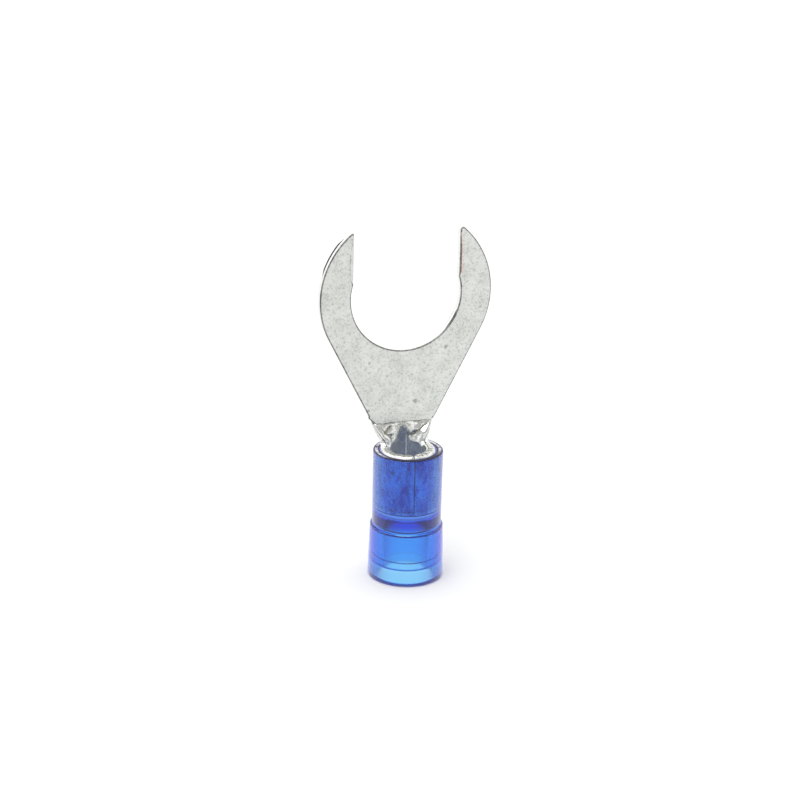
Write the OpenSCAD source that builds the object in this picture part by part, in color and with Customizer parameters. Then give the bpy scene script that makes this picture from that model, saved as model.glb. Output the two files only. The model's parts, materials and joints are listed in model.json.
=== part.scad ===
// Insulated fork terminal for an M8 stud and a 1.5 to 2.5 mm2 conductor.
// It stands on the mouth of its sleeve. +Z runs up the barrel's axis to the prongs,
// the barrel's seam faces -Y, and the tongue lies along the back of the barrel.
// All sizes are in millimetres.

/* [Fork] */
// Thickness of the copper strip
strip_t = 0.75; // [0.6:0.05:0.85]
// Diameter of the round seat for the stud
stud_d = 8.4; // [5.3:0.1:10.5]
// Width of each prong beside the stud
prong_w = 2.35; // [1.5:0.05:3.5]
// How far each wall of the straight slot stands inside the round seat
slot_step = 0.15; // [0.05:0.05:0.4]
// Height of the stud's centre above the end of the barrel
stud_reach = 11.35; // [10:0.05:16]
// Radius of the rounded prong tips
tip_r = 0.12; // [0.05:0.01:0.3]

/* [Neck] */
// Width of the strip where it starts to curl
neck_w = 4.7; // [4.2:0.1:5.2]
// Width of the strip at the foot of the neck, measured round its curl
waist_w = 3.9; // [3.4:0.1:4.1]
// Height over which the flat tongue curls into the barrel
neck_h = 1.55; // [1:0.05:2.5]

/* [Barrel] */
// Bore of the rolled barrel
barrel_id = 2.6; // [2.2:0.1:2.8]
// Length of the rolled barrel
barrel_l = 4.55; // [3.5:0.05:6]
// Height that the barrel's end stands above the rim of the sleeve
barrel_proud = 0.15; // [0:0.05:0.5]
// Gap between the two edges that meet at the seam
seam_gap = 0.06; // [0.03:0.01:0.15]
// Depth of the groove that the rounded strip edges leave inside the seam
seam_groove = 0.3; // [0.1:0.05:0.5]

/* [Sleeve] */
// Wall of the sleeve where it grips the barrel
grip_wall = 0.5; // [0.35:0.01:0.6]
// Radial clearance between the barrel and the sleeve
grip_clearance = 0.02; // [0.01:0.01:0.1]
// Draft of the gripping part, as the radius gained up to its rim
grip_draft = 0.03; // [0:0.01:0.1]
// Bore of the skirt, which takes the insulated wire
wire_d = 3.2; // [3:0.1:3.8]
// Wall of the skirt at its upper end
skirt_wall = 1.12; // [1.05:0.01:1.4]
// Radius that the skirt gains down to its mouth
skirt_flare = 0.11; // [0:0.01:0.25]
// Length of the skirt below the outer shoulder
skirt_l = 4.1; // [3:0.1:7]
// Height of the inner funnel between the skirt's bore and the barrel's seat
funnel_h = 0.95; // [0.6:0.05:2]
// Height of the straight throat at the top of the funnel
throat_l = 0.3; // [0.1:0.05:0.5]
// Gap that the barrel keeps above its seat in the sleeve
seat_gap = 0.45; // [0:0.05:0.8]
// Radial clearance of the throat outside the barrel's bore
throat_clearance = 0.05; // [0:0.01:0.15]
// Height of the upper entry step above the mouth
upper_step_h = 1.55; // [1.35:0.05:2.6]
// Height of the lower entry step above the mouth
lower_step_h = 1.05; // [0.6:0.05:1.3]
// Radius that the bore gains at the upper entry step
upper_step_w = 0.06; // [0.03:0.01:0.12]
// Radius that the bore gains at the lower entry step
lower_step_w = 0.36; // [0.1:0.02:0.4]
// Radius on the inner edge of the mouth
mouth_lead_r = 0.25; // [0.1:0.05:0.3]
// Radius on the edges of the moulding
edge_r = 0.1; // [0.05:0.01:0.2]

/* [Hidden] */
$fn = 96;

// Overlap of the cutting shapes past the faces that they cut
past = 1;
// Depth at which the curl's skin runs under the faces it grows out of
skin = 0.02;
// Length of the curl's roots inside the tongue and the barrel
root = 0.3;

barrel_r = barrel_id / 2;
barrel_od_r = barrel_r + strip_t;
mid_r = barrel_r + strip_t / 2;

stud_r = stud_d / 2;
slot_half = stud_r - slot_step;
fork_r = stud_r + prong_w;

seat_z = skirt_l + funnel_h;
barrel_z = seat_z + seat_gap;
barrel_top_z = barrel_z + barrel_l;
curl_z = barrel_top_z + neck_h;
stud_z = barrel_top_z + stud_reach;
rim_z = barrel_top_z - barrel_proud;

grip_bore_r = barrel_od_r + grip_clearance;
grip_r = grip_bore_r + grip_wall;
rim_r = grip_r + grip_draft;
wire_r = wire_d / 2;
skirt_r = wire_r + skirt_wall;
mouth_r = skirt_r + skirt_flare;
throat_r = barrel_r + throat_clearance;
shoulder_w = skirt_r - grip_r;

// Points of an arc about [cx, cy] from angle a to angle b
function arc(cx, cy, r, a, b, steps = 6) =
    [for (i = [0:steps]) let (t = a + (b - a) * i / steps) [cx + r * cos(t), cy + r * sin(t)]];

// Point where the line from the neck's corner touches the fork's outer circle
function taper_touch() =
    let (
        half = neck_w / 2,
        rise = stud_z - curl_z,
        reach = norm([half, rise]),
        lean = asin(fork_r / reach) - atan2(half, rise),
        side = sqrt(reach * reach - fork_r * fork_r)
    )
    [half + side * sin(lean), curl_z + side * cos(lean)];

// Place across the curl: along is measured on the strip, out from its middle,
// and bend runs from 0 on the flat tongue to 1 on the round barrel
function curl_point(along, out, bend) =
    bend == 0 ? [along, mid_r + out] :
    let (
        r = mid_r / bend,
        a = along / r * 180 / PI
    )
    [(r + out) * sin(a), mid_r - r + (r + out) * cos(a)];

// Blanked outline of the fork, with the stud's seat open towards the tips
module fork_outline() {
    touch = taper_touch();
    difference() {
        union() {
            translate([0, stud_z]) circle(fork_r);
            polygon([[neck_w / 2, curl_z], touch, [-touch[0], touch[1]], [-neck_w / 2, curl_z]]);
        }
        translate([0, stud_z]) circle(stud_r);
        translate([-slot_half, stud_z]) square([2 * slot_half, fork_r + past]);
        for (side = [0, 1]) mirror([side, 0]) tip_waste();
    }
}

// Sharp corner outside the rounding circle of one prong's tip
module tip_waste() {
    centre_x = slot_half + tip_r;
    centre_rise = sqrt(pow(fork_r - tip_r, 2) - pow(centre_x, 2));
    touch_x = centre_x * fork_r / (fork_r - tip_r);
    difference() {
        translate([slot_half - past, stud_z + centre_rise]) square([touch_x - slot_half + past, fork_r]);
        translate([centre_x, stud_z + centre_rise]) circle(tip_r);
    }
}

// Flat tongue, flush with the back of the barrel
module tongue() {
    translate([0, barrel_od_r, 0]) rotate([90, 0, 0]) linear_extrude(strip_t) fork_outline();
}

// Strip between the tongue and the barrel, narrowing as it curls evenly from flat to round
module neck_curl() {
    rows = 12;
    columns = 24;
    half_t = strip_t / 2 - skin;
    levels = concat(
        [[curl_z + root, 0]],
        [for (i = [0:rows]) [curl_z - neck_h * i / rows, i / rows]],
        [[barrel_top_z - root, 1]]
    );
    last = len(levels) - 1;
    points = [
        for (out = [half_t, -half_t], level = levels, j = [0:columns])
            let (
                half_w = (neck_w + (waist_w - neck_w) * level[1]) / 2 - skin,
                p = curl_point(half_w * (2 * j / columns - 1), out, level[1])
            )
            [p[0], p[1], level[0]]
    ];
    function back(i, j) = i * (columns + 1) + j;
    function front(i, j) = back(i + last + 1, j);
    skins = [
        for (i = [0:last - 1], j = [0:columns - 1])
            each [
                [back(i, j + 1), back(i, j), back(i + 1, j), back(i + 1, j + 1)],
                [front(i, j), front(i, j + 1), front(i + 1, j + 1), front(i + 1, j)]
            ]
    ];
    edges = [
        for (i = [0:last - 1])
            each [
                [back(i, 0), front(i, 0), front(i + 1, 0), back(i + 1, 0)],
                [front(i, columns), back(i, columns), back(i + 1, columns), front(i + 1, columns)]
            ]
    ];
    ends = [
        for (j = [0:columns - 1])
            each [
                [back(0, j), back(0, j + 1), front(0, j + 1), front(0, j)],
                [front(last, j), front(last, j + 1), back(last, j + 1), back(last, j)]
            ]
    ];
    polyhedron(points, concat(skins, edges, ends), convexity = 4);
}

// Barrel rolled from the strip, with its edges meeting in a seam at the front
module rolled_barrel() {
    translate([0, 0, barrel_z]) difference() {
        cylinder(h = barrel_l, r = barrel_od_r);
        translate([0, 0, -past]) cylinder(h = barrel_l + 2 * past, r = barrel_r);
        translate([0, 0, -past]) linear_extrude(barrel_l + 2 * past) seam_outline();
    }
}

// Narrow gap through the wall, widening inside to the groove of the rounded edges
module seam_outline() {
    translate([-seam_gap / 2, -barrel_od_r - past]) square([seam_gap, strip_t + past + barrel_r / 2]);
    polygon([
        [0, -barrel_r - seam_groove],
        [seam_groove, -barrel_r],
        [seam_groove, -barrel_r / 2],
        [-seam_groove, -barrel_r / 2],
        [-seam_groove, -barrel_r]
    ]);
}

// Stamped and rolled lug, one piece of tinned copper strip
module fork_lug() {
    color([0.83, 0.84, 0.81]) union() {
        tongue();
        neck_curl();
        rolled_barrel();
    }
}

// Half section of the moulding: up the outside, over the rim and down the inside
module sleeve_section() {
    upper_r = wire_r + upper_step_w;
    lower_r = upper_r + lower_step_w;
    polygon(concat(
        arc(mouth_r - edge_r, edge_r, edge_r, -90, 0),
        arc(grip_r, skirt_l - shoulder_w, shoulder_w, 0, 90),
        arc(rim_r - edge_r, rim_z - edge_r, edge_r, 0, 90),
        arc(grip_bore_r + edge_r, rim_z - edge_r, edge_r, 90, 180),
        [
            [grip_bore_r, seat_z],
            [throat_r, seat_z],
            [throat_r, seat_z - throat_l],
            [wire_r, skirt_l],
            [wire_r, upper_step_h],
            [upper_r, upper_step_h],
            [upper_r, lower_step_h],
            [lower_r, lower_step_h]
        ],
        arc(lower_r + mouth_lead_r, mouth_lead_r, mouth_lead_r, 180, 270)
    ));
}

// Clear nylon sleeve, moulded in one piece
module insulating_sleeve() {
    color([0.16, 0.36, 0.9, 0.6]) rotate_extrude() sleeve_section();
}

fork_lug();
insulating_sleeve();
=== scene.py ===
import json
import math

import bmesh
import bpy
from mathutils import Matrix, Vector
from mathutils.geometry import delaunay_2d_cdt


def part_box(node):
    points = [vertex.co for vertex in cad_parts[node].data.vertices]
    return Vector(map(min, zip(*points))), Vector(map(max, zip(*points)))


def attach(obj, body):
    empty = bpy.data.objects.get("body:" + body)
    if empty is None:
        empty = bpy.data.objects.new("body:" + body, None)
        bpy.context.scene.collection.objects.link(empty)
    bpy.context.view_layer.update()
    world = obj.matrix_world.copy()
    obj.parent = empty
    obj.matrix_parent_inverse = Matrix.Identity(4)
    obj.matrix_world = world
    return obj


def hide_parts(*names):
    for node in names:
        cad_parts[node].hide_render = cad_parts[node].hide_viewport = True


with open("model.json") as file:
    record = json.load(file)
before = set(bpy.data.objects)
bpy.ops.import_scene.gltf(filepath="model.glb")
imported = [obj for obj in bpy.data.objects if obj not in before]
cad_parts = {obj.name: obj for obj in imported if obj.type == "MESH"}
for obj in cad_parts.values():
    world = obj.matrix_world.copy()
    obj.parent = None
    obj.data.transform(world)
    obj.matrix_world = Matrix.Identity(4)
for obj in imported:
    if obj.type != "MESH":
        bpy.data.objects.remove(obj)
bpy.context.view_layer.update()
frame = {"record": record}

# Fork lug: one strip of tin-plated copper, blanked flat and then rolled. The tongue stays flat,
# the neck curls, and the wings close into a barrel whose edges meet at the front. The slot's
# right wall was sheared after plating and shows bare copper.
MM = 0.001
mounts = {mount["name"]: mount for mount in frame["record"]["mounts"]}
lug_low, lug_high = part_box("fork_lug")
barrel_r = mounts["conductor_barrel"]["dims"]["r_mm"] * MM
barrel_outer_r = lug_high.y
strip_t = barrel_outer_r - barrel_r
strip_mid_r = barrel_r + strip_t / 2
barrel_low_z = lug_low.z
barrel_top_z = barrel_low_z + mounts["conductor_barrel"]["dims"]["length_mm"] * MM
stud_r = mounts["stud_seat"]["dims"]["r_mm"] * MM
stud_z = mounts["stud_seat"]["pos_m"][2]
fork_r = lug_high.x
slot_step = 0.15 * MM
slot_half = stud_r - slot_step
left_tip_r = 0.12 * MM
right_tip_r = 0.2 * MM
neck_half = 2.35 * MM
waist_half = 1.95 * MM
curl_h = 1.55 * MM
curl_z = barrel_top_z + curl_h
seam_gap = 0.04 * MM
corner_r = 0.22 * MM
plain_roll = 0.09 * MM
slot_roll_w = 0.3 * MM
slot_roll_d = 0.07 * MM
slot_low_z = stud_z + 1.15 * MM
slot_top_z = stud_z + 4.6 * MM
seam_u = math.pi * strip_mid_r - seam_gap / 2
seam_groove = 0.28 * MM
back_edge_r = 0.04 * MM
dent_depth = 0.05 * MM
crease_depth = 0.05 * MM
trough_depth = 0.09 * MM
trough_half = 0.7 * MM
burr_h = 0.1 * MM
burr_half = 0.12 * MM
burr_z = curl_z + 0.45 * MM
wing_r = 0.16 * MM
seam_shift = 0.13 * MM
fracture_lean = 0.04 * MM
roll_steps = 6
# Lug materials: the dark die roll, the near-white sheared wall, the black torn lip and the dark crease
# and fold tones are painted shade, painted highlight and painted shadow
TIN, SHADED_ROLL, LIT_WALL, COPPER, FORMED, CUT, CREASE_SHADE, SHADOWED_LIP, HALF_SHADE = range(9)


def arc(centre, radius, start_deg, end_deg, spacing):
    """Points of an arc across (u) and along (z) the strip, about spacing apart."""
    span = math.radians(end_deg - start_deg)
    steps = max(3, round(abs(span) * radius / spacing))
    turns = [math.radians(start_deg) + span * i / steps for i in range(steps + 1)]
    return [Vector((centre[0] + radius * math.cos(t), centre[1] + radius * math.sin(t))) for t in turns]


def line(start, end, spacing):
    """Points of a straight run, with the end point left to the next run."""
    start, end = Vector(start), Vector(end)
    steps = max(1, round((end - start).length / spacing))
    return [start.lerp(end, i / steps) for i in range(steps)]


def ragged(points):
    """Cut end with the small waves that the shear left, running out at both ends."""
    wave_h = 0.02 * MM
    long_wave = 7.3 / MM
    short_wave = 17 / MM
    short_share = 0.7
    lowered = []
    for i, p in enumerate(points):
        wave = math.sin(long_wave * p.x) + short_share * math.sin(short_wave * p.x + 1)
        ease = math.sin(math.pi * i / len(points))
        lowered.append(Vector((p.x, p.y - wave_h * ease * (1 + short_share + wave))))
    return lowered


def half_blank(tip_r, wing_u):
    """Right half of the flat blank's outline, from the foot of the wing to the foot of the stud's
    seat, as points with the mark of the run that they belong to."""
    rise = stud_z - curl_z
    reach = math.hypot(neck_half, rise)
    lean = math.asin(fork_r / reach) - math.atan2(neck_half, rise)
    touch_len = math.sqrt(reach ** 2 - fork_r ** 2)
    touch = (neck_half + touch_len * math.sin(lean), curl_z + touch_len * math.cos(lean))
    tip_u = slot_half + tip_r
    tip_rise = math.sqrt((fork_r - tip_r) ** 2 - tip_u ** 2)
    tip_turn = math.degrees(math.atan2(tip_rise, tip_u))
    kink_turn = math.degrees(math.acos(slot_half / stud_r))
    kink_z = stud_z + stud_r * math.sin(math.radians(kink_turn))
    tip_spacing = 0.02 * MM
    fine = 0.06 * MM
    coarse = 0.15 * MM
    stud = (0, stud_z)
    flare = math.atan2(neck_half - waist_half, curl_h)
    corner_rise = corner_r * (1 - math.sin(flare)) / math.cos(flare)
    corner = (waist_half + corner_rise, barrel_top_z + corner_r)
    foot = (corner[0] - corner_r * math.cos(flare), corner[1] + corner_r * math.sin(flare))
    runs = [
        ("foot", line((0, barrel_low_z), (wing_u, barrel_low_z), coarse)),
        ("seam", line((wing_u, barrel_low_z), (wing_u, barrel_top_z - wing_r), coarse)),
        ("cut_end", arc((wing_u - wing_r, barrel_top_z - wing_r), wing_r, 0, 90, fine)[:-1]),
        ("cut_end", ragged(line((wing_u - wing_r, barrel_top_z), (corner[0], barrel_top_z), fine))),
        ("corner", arc(corner, corner_r, 270, 180 - math.degrees(flare), fine)),
        ("neck", line(foot, (neck_half, curl_z), fine)[1:]),
        ("taper", line((neck_half, curl_z), touch, fine)),
        ("fork", arc(stud, fork_r, -math.degrees(lean), tip_turn, coarse)),
        ("tip", arc((tip_u, stud_z + tip_rise), tip_r, tip_turn, 180, tip_spacing)[1:]),
        ("slot", line((slot_half, stud_z + tip_rise), (slot_half, kink_z), coarse)[1:]),
        ("seat", arc(stud, stud_r, kink_turn, -90, coarse)),
    ]
    return [(point, mark) for mark, points in runs for point in points]


def whole_blank():
    """Closed outline of the blank: up its right half, and back down its left half. The two tips
    came out of the die with different roundings, the wings meet a little off the middle, and the
    left taper keeps a burr above the neck."""
    right = half_blank(right_tip_r, seam_u + seam_shift)
    mirrored = half_blank(left_tip_r, seam_u - seam_shift)[1:-1]
    left = []
    for point, mark in reversed(mirrored):
        burr = burr_h * math.exp(-((point.y - burr_z) / burr_half) ** 2) if mark == "taper" else 0
        left.append((Vector((-point.x - burr, point.y)), mark))
    return right + left


def inward_normals(points):
    """Unit-offset direction into the blank at each point of the outline."""
    least_cosine = 0.5
    count = len(points)
    normals = []
    for i, point in enumerate(points):
        before = (point - points[i - 1]).normalized()
        after = (points[(i + 1) % count] - point).normalized()
        side = Vector((-before.y - after.y, before.x + after.x)).normalized()
        normals.append(side / max(least_cosine, side.dot(Vector((-after.y, after.x)))))
    return normals


# Start and end of each fold, across the strip and down from the start of the curl, and its depth
fold_w = 0.15 * MM
folds = [
    (Vector((2.15, 0.02)) * MM, Vector((0.8, 1.15)) * MM, 0.08 * MM),
    (Vector((-1.0, 0.25)) * MM, Vector((-1.7, 0.7)) * MM, 0.06 * MM),
    (Vector((-2.0, 0.3)) * MM, Vector((-1.2, 1.15)) * MM, 0.05 * MM),
]


def fold_share(spot, start, end):
    """How deep a place lies in one fold: 1 on its line, running out on both sides."""
    run = end - start
    share = min(1, max(0, (spot - start).dot(run) / run.length_squared))
    return math.exp(-((spot - start - share * run).length / fold_w) ** 2)


def crumple(across, bend):
    """Dents and folds that the forming left in both flanks of the neck, running out above and
    below. The dents are two crossing waves, given in radians down the curl and across it."""
    flank_from = 0.6 * MM
    flank_full = 1.3 * MM
    run_out = 4
    slant_down = 11
    slant_across = 2.6 / MM
    cross_down = 4
    cross_across = 5.2 / MM
    flank = min(1, max(0, (abs(across) - flank_from) / (flank_full - flank_from)))
    slanted = math.sin(slant_down * bend + slant_across * across)
    crossing = math.sin(cross_across * across - cross_down * bend)
    total = dent_depth * flank * slanted * crossing
    spot = Vector((across, bend * curl_h))
    total += sum(depth * fold_share(spot, start, end) for start, end, depth in folds)
    return total * min(1, run_out * bend, run_out * (1 - bend))


def front_material(across, below):
    """Material of a place on the front, so far below the start of the curl: a dark painted shade deep in
    a fold or in the wavy crease where the curl starts, a paler, rougher painted shade beside a fold, and
    plain elsewhere."""
    crease_below = 0.05 * MM
    crease_wave = 0.02 * MM
    crease_waves_across = 7 / MM
    crease_half_w = 0.024 * MM
    trough_edge = 0.6 * MM
    deep_shade_from = 0.88
    half_shade_from = 0.55
    crease = crease_below + crease_wave * math.sin(crease_waves_across * across)
    if abs(below - crease) < crease_half_w:
        return CREASE_SHADE if abs(across) > trough_edge else FORMED
    spot = Vector((across, below))
    deepest = max(fold_share(spot, start, end) for start, end, depth in folds)
    if deepest > deep_shade_from:
        return CREASE_SHADE
    return HALF_SHADE if deepest > half_shade_from else FORMED


def roll(across, along, out):
    """Place in space of a point of the blank: flat on the tongue, round on the barrel. Out is
    measured from the middle of the strip towards the back of the tongue. The rounded edges of the
    wings thin the strip from inside, which leaves a groove along the seam. The neck's back keeps
    only a share of the dents, and its front alone has the crease and the dish of the trough."""
    back_share = 0.24
    crease_run = 0.12
    crease_least = 0.2
    crease_from = 0.4 * MM
    crease_gain = 1.0 * MM
    if along <= barrel_top_z:
        wing_u = seam_u + math.copysign(seam_shift, across)
        thinned = max(0, abs(across) - (wing_u - seam_groove))
        out += thinned * (0.5 - out / strip_t)
    bend = min(1, max(0, (curl_z - along) / curl_h))
    out += crumple(across, bend) * (back_share + (1 - back_share) * (0.5 - out / strip_t))
    if out < 0 < bend:
        sideways = min(1, max(crease_least, (abs(across) - crease_from) / crease_gain))
        out += crease_depth * sideways * max(0, 1 - bend / crease_run)
        dish = math.sin(math.pi / 2 * bend) * math.exp(-(across / trough_half) ** 2)
        out += trough_depth * dish
    if bend == 0:
        return Vector((across, strip_mid_r + out, along))
    radius = strip_mid_r / bend
    turn = across / radius
    depth = strip_mid_r - radius + (radius + out) * math.cos(turn)
    return Vector(((radius + out) * math.sin(turn), depth, along))


def blank_face(boundary, out, mesh, ring):
    """One face of the strip, filled between its boundary with points close enough to roll."""
    tongue_step = 0.4 * MM
    barrel_step = 0.14 * MM
    neck_step = 0.07 * MM
    crease_step = 0.035 * MM
    neck_margin = 0.2 * MM
    crease_margin = 0.15 * MM
    low = Vector((min(p.x for p in boundary), min(p.y for p in boundary)))
    high = Vector((max(p.x for p in boundary), max(p.y for p in boundary)))
    inner = []
    along = low.y
    while along < high.y:
        step = barrel_step if along < curl_z else tongue_step
        if barrel_top_z - neck_margin < along < curl_z + neck_margin:
            step = neck_step
        if abs(along - curl_z) < crease_margin:
            step = crease_step
        along += step
        count = int((high.x - low.x) / step)
        inner += [Vector((low.x + (i + 0.5) * step, along)) for i in range(count)]
    count = len(boundary)
    edges = [(i, (i + 1) % count) for i in range(count)]
    found = delaunay_2d_cdt(boundary + inner, edges, [], 1, 1e-9)
    points, triangles, origins = found[0], found[2], found[3]
    corners = {}
    for i in sorted({i for triangle in triangles for i in triangle}):
        known = [j for j in origins[i] if j < count]
        corners[i] = ring[known[0]] if known else mesh.verts.new(roll(points[i].x, points[i].y, out))
    for triangle in triangles:
        turn = triangle if out < 0 else reversed(triangle)
        face = mesh.faces.new([corners[i] for i in turn])
        middle = sum((points[i] for i in triangle), Vector((0, 0))) / 3
        if out < 0 and middle.y < curl_z:
            face.material_index = front_material(middle.x, curl_z - middle.y)
        elif middle.y < barrel_top_z:
            face.material_index = CUT


# Where the torn run of each edge ends, by the direction into the blank: across, and down
torn_runs = {"fork": (0.71, 0.28), "seat": (0.72, 0.32)}
torn_taper = 0.07


def torn_share(mark, inward):
    """How far inside the run where the shear tore the edge a place lies: 0 past its ends, and 1 in
    its middle."""
    if mark not in torn_runs:
        return 0
    upper_end, lower_end = torn_runs[mark]
    return max(0, min(1, (inward.x - upper_end) / torn_taper, (-lower_end - inward.y) / torn_taper))


def edge_profile(roll_w, roll_d, back_r, lean, torn_at):
    """Inset and height of the blank's edge: die roll, straight burnished zone, torn lip, leaning
    fracture zone and the edge of the back."""
    half_t = strip_t / 2
    turns = [math.pi / 2 * i / roll_steps for i in range(roll_steps + 1)]
    front = [(roll_w * (1 - math.sin(t)), -half_t + roll_d * (1 - math.cos(t))) for t in turns]
    back = [(lean + back_r * (1 - math.cos(t)), half_t - back_r * (1 - math.sin(t))) for t in turns]
    margin = 0.02 * MM
    burnish_h = 0.1 * MM
    least_lip = 0.1
    lip_share = 0.36
    burnished = roll_d - half_t + margin + burnish_h * torn_at
    lip_low = max(burnished + margin, 0)
    lip_limit = min(lip_share * strip_t, half_t - back_r - margin)
    lip_high = lip_low + (lip_limit - lip_low) * max(least_lip, torn_at)
    return front + [(0, burnished), (0, lip_low), (0, lip_high)] + back


def die_edge(point, mark):
    """Roll width, roll depth, back rounding and lean of the blank's edge at one point. The slot's
    wide roll runs out towards both its ends, and the neck's edges grow rounder down the curl."""
    top_fade = 1.2 * MM
    low_fade = 0.5 * MM
    cut_roll_w = 0.18 * MM
    cut_roll_d = 0.22 * MM
    cut_back_r = 0.25 * MM
    neck_roll = 0.34 * MM
    neck_back = 0.1 * MM
    neck_fade_z = curl_z + 0.3 * MM
    neck_fade = 0.7 * MM
    if mark == "slot":
        share = min(1, (slot_top_z - point.y) / top_fade, (point.y - slot_low_z) / low_fade)
        share = max(0, share)
        wide = plain_roll + share * (slot_roll_w - plain_roll)
        deep = plain_roll + share * (slot_roll_d - plain_roll)
        return wide, deep, back_edge_r, fracture_lean
    if mark == "cut_end":
        return cut_roll_w, cut_roll_d, cut_back_r, 0
    if mark in ("neck", "corner", "taper"):
        share = min(1, max(0, (neck_fade_z - point.y) / neck_fade))
        size = plain_roll + share * (neck_roll - plain_roll)
        return size, size, back_edge_r + share * neck_back, fracture_lean * (1 - share)
    lean = fracture_lean if mark in ("fork", "seat", "tip") else 0
    return plain_roll, plain_roll, back_edge_r, lean


def edge_material(strip, point, mark, inward):
    """Material of one strip of the edge: die roll in painted shade, sheared wall in a painted highlight
    with its torn lip in a painted shadow, or formed tin. The slot's right roll starts in bare copper,
    and the first strip of its left roll takes a lighter, rougher painted shade.
    """
    if mark in ("neck", "corner"):
        return SHADED_ROLL if strip == roll_steps - 1 else FORMED
    if mark == "cut_end" and strip == roll_steps - 1:
        return SHADED_ROLL
    if mark in ("cut_end", "seam"):
        return SHADED_ROLL if strip < 2 else CUT
    if mark == "foot":
        return TIN
    if mark == "slot" and point.x > 0 and strip < roll_steps:
        return COPPER if strip < 2 else SHADED_ROLL
    if mark == "slot" and strip < roll_steps - 1:
        return HALF_SHADE if strip == 0 else TIN
    torn_strip = roll_steps if mark == "seat" else roll_steps + 2
    if strip == torn_strip and torn_share(mark, inward) > 0:
        return SHADOWED_LIP
    return SHADED_ROLL if strip < roll_steps else LIT_WALL


outline = whole_blank()
edge_points = [point for point, mark in outline]
edge_normals = inward_normals(edge_points)
profiles = [edge_profile(*die_edge(point, mark), torn_share(mark, inward))
            for (point, mark), inward in zip(outline, edge_normals)]
mesh = bmesh.new()
rings, insets = [], []
for k in range(len(profiles[0])):
    places = [(point + normal * profile[k][0], profile[k][1])
              for point, normal, profile in zip(edge_points, edge_normals, profiles)]
    insets.append([point for point, out in places])
    rings.append([mesh.verts.new(roll(point.x, point.y, out)) for point, out in places])
for strip, (upper, lower) in enumerate(zip(rings, rings[1:])):
    for i, (point, mark) in enumerate(outline):
        j = (i + 1) % len(outline)
        face = mesh.faces.new([upper[i], lower[i], lower[j], upper[j]])
        face.material_index = edge_material(strip, point, mark, edge_normals[i])
blank_face(insets[0], -strip_t / 2, mesh, rings[0])
blank_face(insets[-1], strip_t / 2, mesh, rings[-1])
bmesh.ops.recalc_face_normals(mesh, faces=mesh.faces)
lug_mesh = bpy.data.meshes.new("tinned_lug")
mesh.to_mesh(lug_mesh)
mesh.free()
lug_mesh.polygons.foreach_set("use_smooth", [True] * len(lug_mesh.polygons))
sharp_deg = 32
lug_mesh.set_sharp_from_angle(angle=math.radians(sharp_deg))
lug = bpy.data.objects.new("tinned_lug", lug_mesh)
bpy.context.scene.collection.objects.link(lug)


def new_material(name):
    """New node material, its node tree and its Principled shader."""
    material = bpy.data.materials.new(name)
    material.use_nodes = True
    tree = material.node_tree
    tree.nodes.clear()
    output = tree.nodes.new("ShaderNodeOutputMaterial")
    shader = tree.nodes.new("ShaderNodeBsdfPrincipled")
    tree.links.new(shader.outputs["BSDF"], output.inputs["Surface"])
    return material, tree, shader


def put(tree, kind, links=None, **values):
    """New node with its settings and inputs: a socket is linked, and a plain value is set."""
    node = tree.nodes.new(kind)
    for name, value in values.items():
        setattr(node, name, value)
    for name, value in (links or {}).items():
        if isinstance(value, bpy.types.NodeSocket):
            tree.links.new(value, node.inputs[name])
        else:
            node.inputs[name].default_value = value
    return node


def blend(tree, factor, first, second):
    """Colour mix: factor is a socket, and each colour is a socket or a plain colour."""
    node = put(tree, "ShaderNodeMix", {0: factor}, data_type="RGBA")
    for slot, value in ((6, first), (7, second)):
        if isinstance(value, bpy.types.NodeSocket):
            tree.links.new(value, node.inputs[slot])
        else:
            node.inputs[slot].default_value = (*value, 1)
    return node.outputs[2]


def ramp(tree, value, low, high, to_low=0.0, to_high=1.0):
    """Value carried from one span to another, with its ends held."""
    spans = {"Value": value, "From Min": low, "From Max": high, "To Min": to_low, "To Max": to_high}
    return put(tree, "ShaderNodeMapRange", spans).outputs["Result"]


mottle = bpy.data.node_groups.new("tin_mottle", "ShaderNodeTree")
for name, kind in (("Cloud", "Float"), ("Speck", "Float"), ("Normal", "Vector")):
    mottle.interface.new_socket(name, in_out="OUTPUT", socket_type="NodeSocket" + kind)
place = put(mottle, "ShaderNodeTexCoord").outputs["Object"]
cloud = {"Vector": place, "Scale": 900, "Detail": 3.0, "Roughness": 0.55}
cloud = put(mottle, "ShaderNodeTexNoise", cloud)
grain = {"Vector": place, "Scale": 6500, "Detail": 4.0, "Roughness": 0.65}
grain = put(mottle, "ShaderNodeTexNoise", grain)
warp = put(mottle, "ShaderNodeTexNoise", {"Vector": place, "Scale": 2500, "Detail": 2.0})
bent = {0: warp.outputs["Color"], 1: (0.4 * MM, 0.4 * MM, 0.4 * MM), 2: place}
bent = put(mottle, "ShaderNodeVectorMath", bent, operation="MULTIPLY_ADD")
cells = put(mottle, "ShaderNodeTexVoronoi", {"Vector": bent.outputs["Vector"], "Scale": 850})
chosen = put(mottle, "ShaderNodeSeparateColor", {"Color": cells.outputs["Color"]})
nick_core = ramp(mottle, cells.outputs["Distance"], 0.17, 0.1)
nick_here = ramp(mottle, chosen.outputs["Red"], 0.75, 0.8)
nick = put(mottle, "ShaderNodeMath", {0: nick_core, 1: nick_here}, operation="MULTIPLY")
pit = ramp(mottle, grain.outputs["Fac"], 0.46, 0.26)
speck = put(mottle, "ShaderNodeMath", {0: nick.outputs["Value"], 1: pit}, operation="MAXIMUM")
bump = {"Height": grain.outputs["Fac"], "Strength": 0.3, "Distance": 0.02 * MM}
bump = put(mottle, "ShaderNodeBump", bump)
ends = put(mottle, "NodeGroupOutput")
both = {0: cloud.outputs["Fac"], 1: grain.outputs["Fac"]}
both = put(mottle, "ShaderNodeMath", both, operation="ADD")
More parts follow.
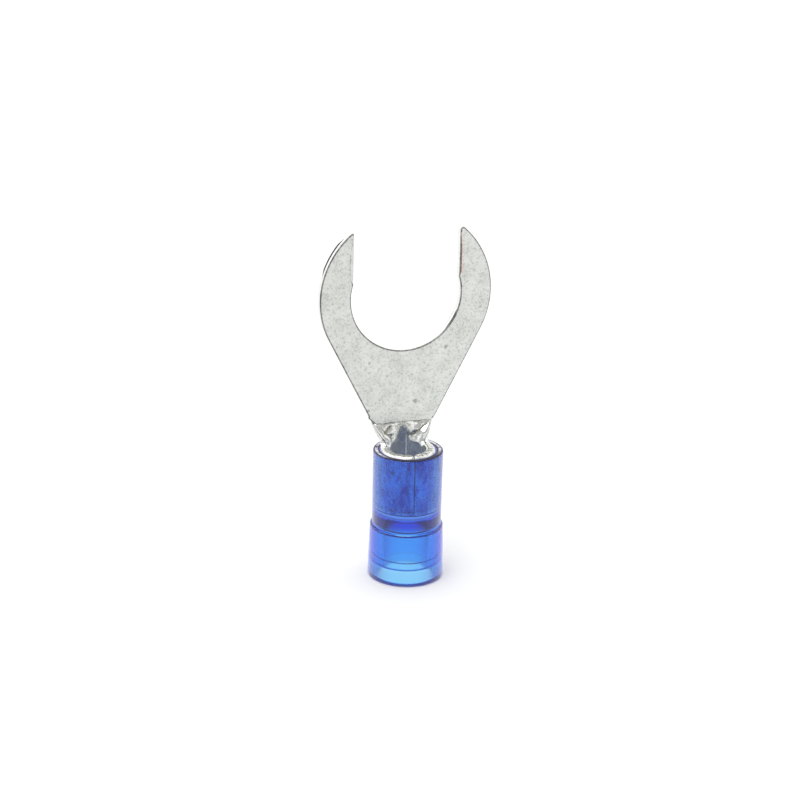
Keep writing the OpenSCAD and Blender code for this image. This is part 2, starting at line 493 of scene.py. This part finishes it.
mottle.links.new(ramp(mottle, both.outputs["Value"], 0.75, 1.25), ends.inputs["Cloud"])
mottle.links.new(speck.outputs["Value"], ends.inputs["Speck"])
mottle.links.new(bump.outputs["Normal"], ends.inputs["Normal"])


def tin_finish(name, dark, light, speck_colour, dull, bright):
    """Tin-plated surface: cloudy between two tones, with specks, between two roughnesses."""
    material, tree, shader = new_material(name)
    marks = put(tree, "ShaderNodeGroup", node_tree=mottle).outputs
    clean = blend(tree, marks["Cloud"], dark, light)
    tree.links.new(blend(tree, marks["Speck"], clean, speck_colour), shader.inputs["Base Color"])
    tree.links.new(ramp(tree, marks["Cloud"], 0.0, 1.0, bright, dull), shader.inputs["Roughness"])
    tree.links.new(marks["Normal"], shader.inputs["Normal"])
    shader.inputs["Metallic"].default_value = 1.0
    return material


tin = tin_finish("tin_plate", (0.62, 0.645, 0.61), (0.83, 0.85, 0.81), (0.42, 0.43, 0.40), 0.32, 0.2)
# Painted shade: the die roll takes a dark tin, standing for the shade and dark reflection along the
# blank's edges
rolled = tin_finish("rolled_edge_painted_shade", (0.12, 0.12, 0.11), (0.40, 0.40, 0.38), (0.08, 0.08, 0.08), 0.5, 0.4)
# Painted highlight: the sheared walls take a near-white tin, as if lit from above
sheared = tin_finish("sheared_tin_painted_highlight", (0.94, 0.94, 0.92), (0.98, 0.98, 0.97), (0.6, 0.6, 0.58), 0.2, 0.12)
copper = tin_finish("bare_copper", (0.80, 0.66, 0.60), (0.93, 0.84, 0.79), (0.55, 0.38, 0.32), 0.4, 0.3)
formed = tin_finish("formed_tin", (0.74, 0.75, 0.71), (0.97, 0.98, 0.95), (0.26, 0.27, 0.22), 0.22, 0.12)
cut = tin_finish("cut_tin", (0.66, 0.67, 0.62), (1.0, 1.0, 0.98), (0.36, 0.36, 0.33), 0.34, 0.2)
# Painted shadow: the torn lip takes a near-black tin, standing for the shadow under the burr
torn = tin_finish("torn_lip_painted_shadow", (0.01, 0.01, 0.01), (0.09, 0.09, 0.08), (0.01, 0.01, 0.01), 0.6, 0.5)
# Painted shade: deep in the neck's folds and in the crease where the curl starts, the tin is dark
crease_shade_tin = tin_finish("crease_painted_shade", (0.14, 0.14, 0.11), (0.5, 0.5, 0.41), (0.05, 0.05, 0.06), 0.5, 0.35)
# Painted shade, lighter and rougher: beside the neck's folds, and on the first strip of the slot's left
# roll
half_shade_tin = tin_finish("half_painted_shade", (0.4, 0.41, 0.36), (0.8, 0.81, 0.74), (0.2, 0.2, 0.16), 0.4, 0.25)
# The formed tin grows dull down into the bore, where its colour is painted paler and bluish as painted
# light, and a scrape runs down its trough
scrape_x = 0.28 * MM
scrape_half_w = 0.05 * MM
tree = formed.node_tree
place = put(tree, "ShaderNodeTexCoord").outputs["Object"]
place = put(tree, "ShaderNodeSeparateXYZ", {"Vector": place}).outputs
height = place["Z"]
satin = ramp(tree, height, barrel_top_z + 0.3 * MM, barrel_top_z - 0.6 * MM, 0.17, 0.4)
scrape = {0: place["X"], 1: scrape_x, 2: scrape_half_w}
scrape = put(tree, "ShaderNodeMath", scrape, operation="COMPARE").outputs["Value"]
scraped = ramp(tree, height, barrel_top_z + 0.6 * MM, barrel_top_z + 0.3 * MM, 0.0, 0.45)
scrape = put(tree, "ShaderNodeMath", {0: scrape, 1: scraped}, operation="MULTIPLY").outputs["Value"]
satin = put(tree, "ShaderNodeMath", {0: satin, 1: scrape}, operation="ADD").outputs["Value"]
shader = tree.nodes["Principled BSDF"]
tree.links.new(satin, shader.inputs["Roughness"])
mottled = shader.inputs["Base Color"].links[0].from_socket
# Painted light: down into the bore the colour is blended paler and bluish
inside = ramp(tree, height, barrel_top_z + 1.1 * MM, barrel_top_z - 0.2 * MM, 0.0, 0.57)
tree.links.new(blend(tree, inside, mottled, (0.92, 0.95, 1.0)), shader.inputs["Base Color"])
for material in (tin, rolled, sheared, copper, formed, cut, crease_shade_tin, torn, half_shade_tin):
    lug_mesh.materials.append(material)
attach(lug, "root")
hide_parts("fork_lug")

# Insulating sleeve: clear blue nylon, moulded in one piece on a core pin. It is pressed on and
# grips the barrel, whose end stops short of an inner seat. Below the seat a throat and a funnel
# open into the stepped skirt.
sleeve_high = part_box("insulating_sleeve")[1]
entry = mounts["wire_entry"]
wire_r = entry["dims"]["r_mm"] * MM
wire_half_l = entry["dims"]["length_mm"] * MM / 2
mouth_r = sleeve_high.x
rim_z = sleeve_high.z
skirt_l = entry["pos_m"][2] + wire_half_l
skirt_flare = 0.11 * MM
skirt_r = mouth_r - skirt_flare
optical_lap = 0.03 * MM
grip_bore_r = barrel_outer_r - optical_lap
grip_wall = 0.52 * MM
grip_r = barrel_outer_r + grip_wall
grip_draft = 0.03 * MM
rim_r = grip_r + grip_draft
throat_clearance = 0.05 * MM
throat_r = barrel_r + throat_clearance
throat_l = 0.3 * MM
seat_gap = 0.45 * MM
seat_z = barrel_low_z - seat_gap
seat_clearance = 0.02 * MM
seat_r = barrel_outer_r + seat_clearance
upper_step_z = entry["pos_m"][2] - wire_half_l
upper_r = wire_r + 0.06 * MM
lower_step_z = 1.05 * MM
lower_r = wire_r + 0.42 * MM
ring_r = 0.03 * MM
step_edge = 0.03 * MM
mouth_lead_r = 0.25 * MM
mould_edge_r = 0.1 * MM
shoulder_r = skirt_r - grip_r
turn_steps = 240


def rounded(radius_at, height_at, radius, start_deg, end_deg):
    """Rounded corner of the moulding's half section."""
    return arc((radius_at, height_at), radius, start_deg, end_deg, radius / 6)


outside = (
    rounded(mouth_r - mould_edge_r, mould_edge_r, mould_edge_r, -90, 0)
    + rounded(grip_r, skirt_l - shoulder_r, shoulder_r, 0, 90)
    + rounded(rim_r - mould_edge_r, rim_z - mould_edge_r, mould_edge_r, 0, 90)
)
inner_rim = rounded(grip_bore_r + mould_edge_r, rim_z - mould_edge_r, mould_edge_r, 90, 180)
rim_from = len(outside) - 4
rim_to = len(outside)
seat_at = len(outside) + len(inner_rim) + 1
section = (
    outside
    + inner_rim
    + [
        Vector((grip_bore_r, barrel_low_z + optical_lap)),
        Vector((seat_r, barrel_low_z + optical_lap)),
        Vector((seat_r, seat_z)),
        Vector((throat_r, seat_z)),
        Vector((throat_r, seat_z - throat_l)),
        Vector((wire_r, skirt_l)),
        Vector((wire_r, upper_step_z + ring_r)),
        Vector((upper_r + ring_r, upper_step_z)),
        Vector((upper_r, upper_step_z - ring_r)),
        Vector((upper_r, lower_step_z + step_edge)),
        Vector((upper_r + step_edge, lower_step_z)),
        Vector((lower_r, lower_step_z)),
    ]
    + rounded(lower_r + mouth_lead_r, mouth_lead_r, mouth_lead_r, 180, 270)
)
# Face sets of the sleeve: the nylon, the rim with its painted glints and shade, and the mirroring wall
# of the gap
NYLON, RIM_LIGHT_SHADE, MIRRORING = range(3)
mesh = bmesh.new()
columns = []
for i in range(turn_steps):
    turn = 2 * math.pi * i / turn_steps
    places = [(p.x * math.cos(turn), p.x * math.sin(turn), p.y) for p in section]
    columns.append([mesh.verts.new(place) for place in places])
for i, column in enumerate(columns):
    following = columns[(i + 1) % turn_steps]
    for j in range(len(section)):
        k = (j + 1) % len(section)
        face = mesh.faces.new([column[j], following[j], following[k], column[k]])
        if rim_from <= j < rim_to:
            face.material_index = RIM_LIGHT_SHADE
        elif j == seat_at:
            face.material_index = MIRRORING
bmesh.ops.recalc_face_normals(mesh, faces=mesh.faces)
sleeve_mesh = bpy.data.meshes.new("clear_sleeve")
mesh.to_mesh(sleeve_mesh)
mesh.free()
sleeve_mesh.polygons.foreach_set("use_smooth", [True] * len(sleeve_mesh.polygons))
sharp_deg = 25
sleeve_mesh.set_sharp_from_angle(angle=math.radians(sharp_deg))
sleeve = bpy.data.objects.new("clear_sleeve", sleeve_mesh)
bpy.context.scene.collection.objects.link(sleeve)

# The nylon is tinted in zones: over the barrel, over the gap under it, over the funnel, over the
# skirt's bore and below the lower step. Seen edge-on, its tint carries painted light: a pale painted
# glare over the barrel, a dark painted shade over the funnel, and on the skirt a violet that is partly
# the longer path through the nylon and partly painted shade. Dark blue lines of painted shade run
# round it at the seat, at the barrel's end and at the shoulder.
nylon, tree, nylon_shader = new_material("blue_nylon")
place = put(tree, "ShaderNodeTexCoord").outputs["Object"]
height = put(tree, "ShaderNodeSeparateXYZ", {"Vector": place}).outputs["Z"]


def axis_distance(tree, place):
    """Distance of the shaded place from the sleeve's axis."""
    level = put(tree, "ShaderNodeVectorMath", {0: place, 1: (1, 1, 0)}, operation="MULTIPLY")
    length = put(tree, "ShaderNodeVectorMath", {0: level.outputs["Vector"]}, operation="LENGTH")
    return length.outputs["Value"]


radius = axis_distance(tree, place)
edge_on = put(tree, "ShaderNodeLayerWeight", {"Blend": 0.5}).outputs["Facing"]
streak = {0: place, 1: (1, 1, 0.4)}
streak = put(tree, "ShaderNodeVectorMath", streak, operation="MULTIPLY").outputs["Vector"]
wet = {"Vector": streak, "Scale": 2000, "Detail": 6.0, "Roughness": 0.65, "Distortion": 0.6}
wet = put(tree, "ShaderNodeTexNoise", wet).outputs["Fac"]
deep = blend(tree, ramp(tree, wet, 0.39, 0.59), (0.002, 0.035, 0.45), (0.12, 0.34, 1.0))
# Painted glare: over the barrel, seen edge-on, the tint turns pale lilac
glare_side = blend(tree, ramp(tree, edge_on, 0.25, 0.5), deep, (0.97, 0.97, 1.0))
# Painted shade: over the funnel, seen edge-on, the tint turns dark brown
funnel_shade_side = blend(tree, ramp(tree, edge_on, 0.06, 0.25), (0.04, 0.14, 0.8), (0.05, 0.005, 0.05))


def shade_line(height_at, half_width, ground):
    """Ground colour with a dark blue line of painted shade round the sleeve at one height."""
    near = {0: height, 1: height_at, 2: half_width}
    near = put(tree, "ShaderNodeMath", near, operation="COMPARE").outputs["Value"]
    return blend(tree, near, ground, (0.001, 0.006, 0.09))


barrel_end_z = barrel_low_z + 0.09 * MM
shoulder_line_z = skirt_l - 0.13 * MM
on_barrel = ramp(tree, height, barrel_low_z + 0.08 * MM, barrel_low_z + 0.12 * MM)
collar = blend(tree, on_barrel, (0.5, 0.55, 1.0), glare_side)
upper = blend(tree, ramp(tree, height, seat_z + 0.02 * MM, seat_z + 0.06 * MM), funnel_shade_side, collar)
# Painted shade lines, dark blue, at the seat and at the barrel's end
upper = shade_line(seat_z, 0.035 * MM, upper)
upper = shade_line(barrel_end_z, 0.05 * MM, upper)
# Seen edge-on, the skirt turns violet above the lower step and below it: partly the longer path through
# the nylon, partly painted shade
skirt_shade_side = blend(tree, ramp(tree, edge_on, 0.15, 0.5), (0.97, 0.99, 1.0), (1.0, 0.68, 0.86))
low_shade_side = blend(tree, ramp(tree, edge_on, 0.15, 0.5), (0.76, 0.92, 0.98), (0.86, 0.3, 0.5))
low_zone = ramp(tree, height, lower_step_z + 0.1 * MM, lower_step_z)
# Painted shade line, dark blue, at the shoulder
skirt = shade_line(shoulder_line_z, 0.06 * MM, blend(tree, low_zone, skirt_shade_side, low_shade_side))
over_metal = ramp(tree, height, skirt_l + 0.05 * MM, skirt_l + 0.3 * MM)
body = blend(tree, over_metal, skirt, upper)
tree.links.new(body, nylon_shader.inputs["Base Color"])
core_side = ramp(tree, radius, skirt_r - 0.3 * MM, skirt_r - 0.4 * MM, 0.03, 0.2)
tree.links.new(core_side, nylon_shader.inputs["Roughness"])
nylon_shader.inputs["Coat Weight"].default_value = 0.2
nylon_shader.inputs["Sheen Weight"].default_value = 0.85
nylon_shader.inputs["Sheen Roughness"].default_value = 0.45
nylon_shader.inputs["Sheen Tint"].default_value = (0.64, 0.66, 1.0, 1)
nylon_shader.inputs["Coat Roughness"].default_value = 0.03
nylon_shader.inputs["IOR"].default_value = 1.53
nylon_shader.inputs["Transmission Weight"].default_value = 1.0
absorb = put(tree, "ShaderNodeVolumeAbsorption", {"Color": (0.06, 0.69, 0.991, 1), "Density": 1650.0})
nylon_output = tree.nodes["Material Output"]
tree.links.new(absorb.outputs["Volume"], nylon_output.inputs["Volume"])

# The rim carries painted light: pale painted glints in patches towards the back, and dark painted shade
# at the front and along both its edges
rim_glint_shade, tree, rim_shader = new_material("rim_painted_glint_and_shade")
place = put(tree, "ShaderNodeTexCoord").outputs["Object"]
to_back = put(tree, "ShaderNodeSeparateXYZ", {"Vector": place}).outputs["Y"]
glint_noise = put(tree, "ShaderNodeTexNoise", {"Vector": place, "Scale": 2200, "Detail": 3.0}).outputs["Fac"]
glint_share = {0: ramp(tree, glint_noise, 0.3, 0.6), 1: ramp(tree, to_back, -1.7 * MM, -0.4 * MM)}
glint_share = put(tree, "ShaderNodeMath", glint_share, operation="MULTIPLY").outputs["Value"]
radius = axis_distance(tree, place)
at_barrel = ramp(tree, radius, barrel_outer_r + 0.24 * MM, barrel_outer_r + 0.16 * MM)
# Painted light: pale glints at the back and dark painted shade at the front, then a painted shadow
# beside the barrel and painted shade along the outer edge
glinted_rim = blend(tree, glint_share, (0.03, 0.025, 0.06), (0.80, 0.78, 0.86))
glinted_rim = blend(tree, at_barrel, glinted_rim, (0.03, 0.03, 0.09))
at_edge = ramp(tree, radius, rim_r - 0.18 * MM, rim_r - 0.1 * MM)
edged = blend(tree, at_edge, glinted_rim, (0.02, 0.015, 0.025))
tree.links.new(edged, rim_shader.inputs["Base Color"])
rim_shader.inputs["Roughness"].default_value = 0.4
rim_shader.inputs["Specular IOR Level"].default_value = 0.15

# The wall of the gap under the barrel throws the light back like a mirror
mirror, tree, mirror_shader = new_material("mirroring_gap")
ripples = put(tree, "ShaderNodeTexNoise", {"Scale": 2500, "Detail": 3.0}).outputs["Fac"]
rippled = blend(tree, ripples, (0.8, 0.8, 0.9), (1.0, 1.0, 1.0))
tree.links.new(rippled, mirror_shader.inputs["Base Color"])
mirror_shader.inputs["Metallic"].default_value = 1.0
mirror_shader.inputs["Roughness"].default_value = 0.25
for material in (nylon, rim_glint_shade, mirror):
    sleeve_mesh.materials.append(material)
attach(sleeve, "root")
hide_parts("insulating_sleeve")

# Floor: a plain white table top of matt paper, which the terminal stands on. Metal and nylon show
# it as white, and it keeps the terminal's shadow.
floor_half = 1.5
floor_z = -0.00002
floor_mesh = bpy.data.meshes.new("floor")
corner_sides = ((-1, -1), (1, -1), (1, 1), (-1, 1))
corners = [(x * floor_half, y * floor_half, floor_z) for x, y in corner_sides]
floor_mesh.from_pydata(corners, [], [(0, 1, 2, 3)])
floor = bpy.data.objects.new("floor", floor_mesh)
bpy.context.scene.collection.objects.link(floor)
paper, tree, paper_shader = new_material("white_paper")
fibre = put(tree, "ShaderNodeTexNoise", {"Scale": 400, "Detail": 3.0}).outputs["Fac"]
toned = blend(tree, fibre, (0.96, 0.96, 0.96), (0.98, 0.98, 0.98))
tree.links.new(toned, paper_shader.inputs["Base Color"])
paper_shader.inputs["Roughness"].default_value = 0.9
light_path = put(tree, "ShaderNodeLightPath").outputs
seen_in = {0: light_path["Is Glossy Ray"], 1: light_path["Is Transmission Ray"]}
seen_in = put(tree, "ShaderNodeMath", seen_in, operation="MAXIMUM").outputs["Value"]
white = put(tree, "ShaderNodeEmission", {"Strength": 1.0}).outputs["Emission"]
shown = put(tree, "ShaderNodeMixShader", {0: seen_in, 1: paper_shader.outputs["BSDF"], 2: white})
paper_output = tree.nodes["Material Output"]
tree.links.new(shown.outputs["Shader"], paper_output.inputs["Surface"])
floor_mesh.materials.append(paper)

# Light: a white sky, darker behind the camera, and one large soft box, which hangs above the
# terminal on its left and front.
sky = bpy.data.worlds.new("sky")
bpy.context.scene.world = sky
sky.use_nodes = True
tree = sky.node_tree
heading = put(tree, "ShaderNodeTexCoord").outputs["Generated"]
facing = put(tree, "ShaderNodeSeparateXYZ", {"Vector": heading}).outputs
backdrop = tree.nodes["Background"]
tree.links.new(ramp(tree, facing["Y"], -0.6, -0.1, 0.5, 1.15), backdrop.inputs["Strength"])
backdrop.inputs["Color"].default_value = (1, 1, 1, 1)
soft_box = bpy.data.lights.new("soft_box", "AREA")
soft_box.shape = "DISK"
soft_box.size = 0.3
soft_box.energy = 0.45
lamp = bpy.data.objects.new("soft_box", soft_box)
bpy.context.scene.collection.objects.link(lamp)
lamp.location = (-0.12, -0.15, 0.35)
lamp_aim = Vector((0, 0, 12 * MM))
lamp.rotation_euler = (lamp_aim - lamp.location).to_track_quat("-Z", "Y").to_euler()

# Camera: from the left of the seam and above it, with a long lens, rolled a little as the photo is.
camera_turn = math.radians(-18.43)
camera_lift = math.radians(20.74)
camera_roll = math.radians(1.41)
camera_distance = 200.0 * MM
camera_lens = 122.8
aim_right = -0.697 * MM
aim_up = -0.209 * MM
back = Vector((
    math.sin(camera_turn) * math.cos(camera_lift),
    -math.cos(camera_turn) * math.cos(camera_lift),
    math.sin(camera_lift),
))
level_right = Vector((math.cos(camera_turn), math.sin(camera_turn), 0))
level_up = back.cross(level_right)
right = math.cos(camera_roll) * level_right + math.sin(camera_roll) * level_up
up = back.cross(right)
camera_data = bpy.data.cameras.new("camera")
camera_data.lens = camera_lens
camera_data.clip_start = 0.01
camera = bpy.data.objects.new("camera", camera_data)
bpy.context.scene.collection.objects.link(camera)
aim = Vector((0, 0, 14 * MM)) + aim_right * right + aim_up * up
camera_at = aim + camera_distance * back
camera_axes = Matrix((right, up, back)).transposed().to_4x4()
camera.matrix_world = Matrix.Translation(camera_at) @ camera_axes
bpy.context.scene.camera = camera

# Finish: plain colours, and enough bounces for light that is caught in the clear sleeve.
scene = bpy.context.scene
scene.view_settings.view_transform = "Standard"
scene.cycles.max_bounces = 24
scene.cycles.glossy_bounces = 16
scene.cycles.transmission_bounces = 20
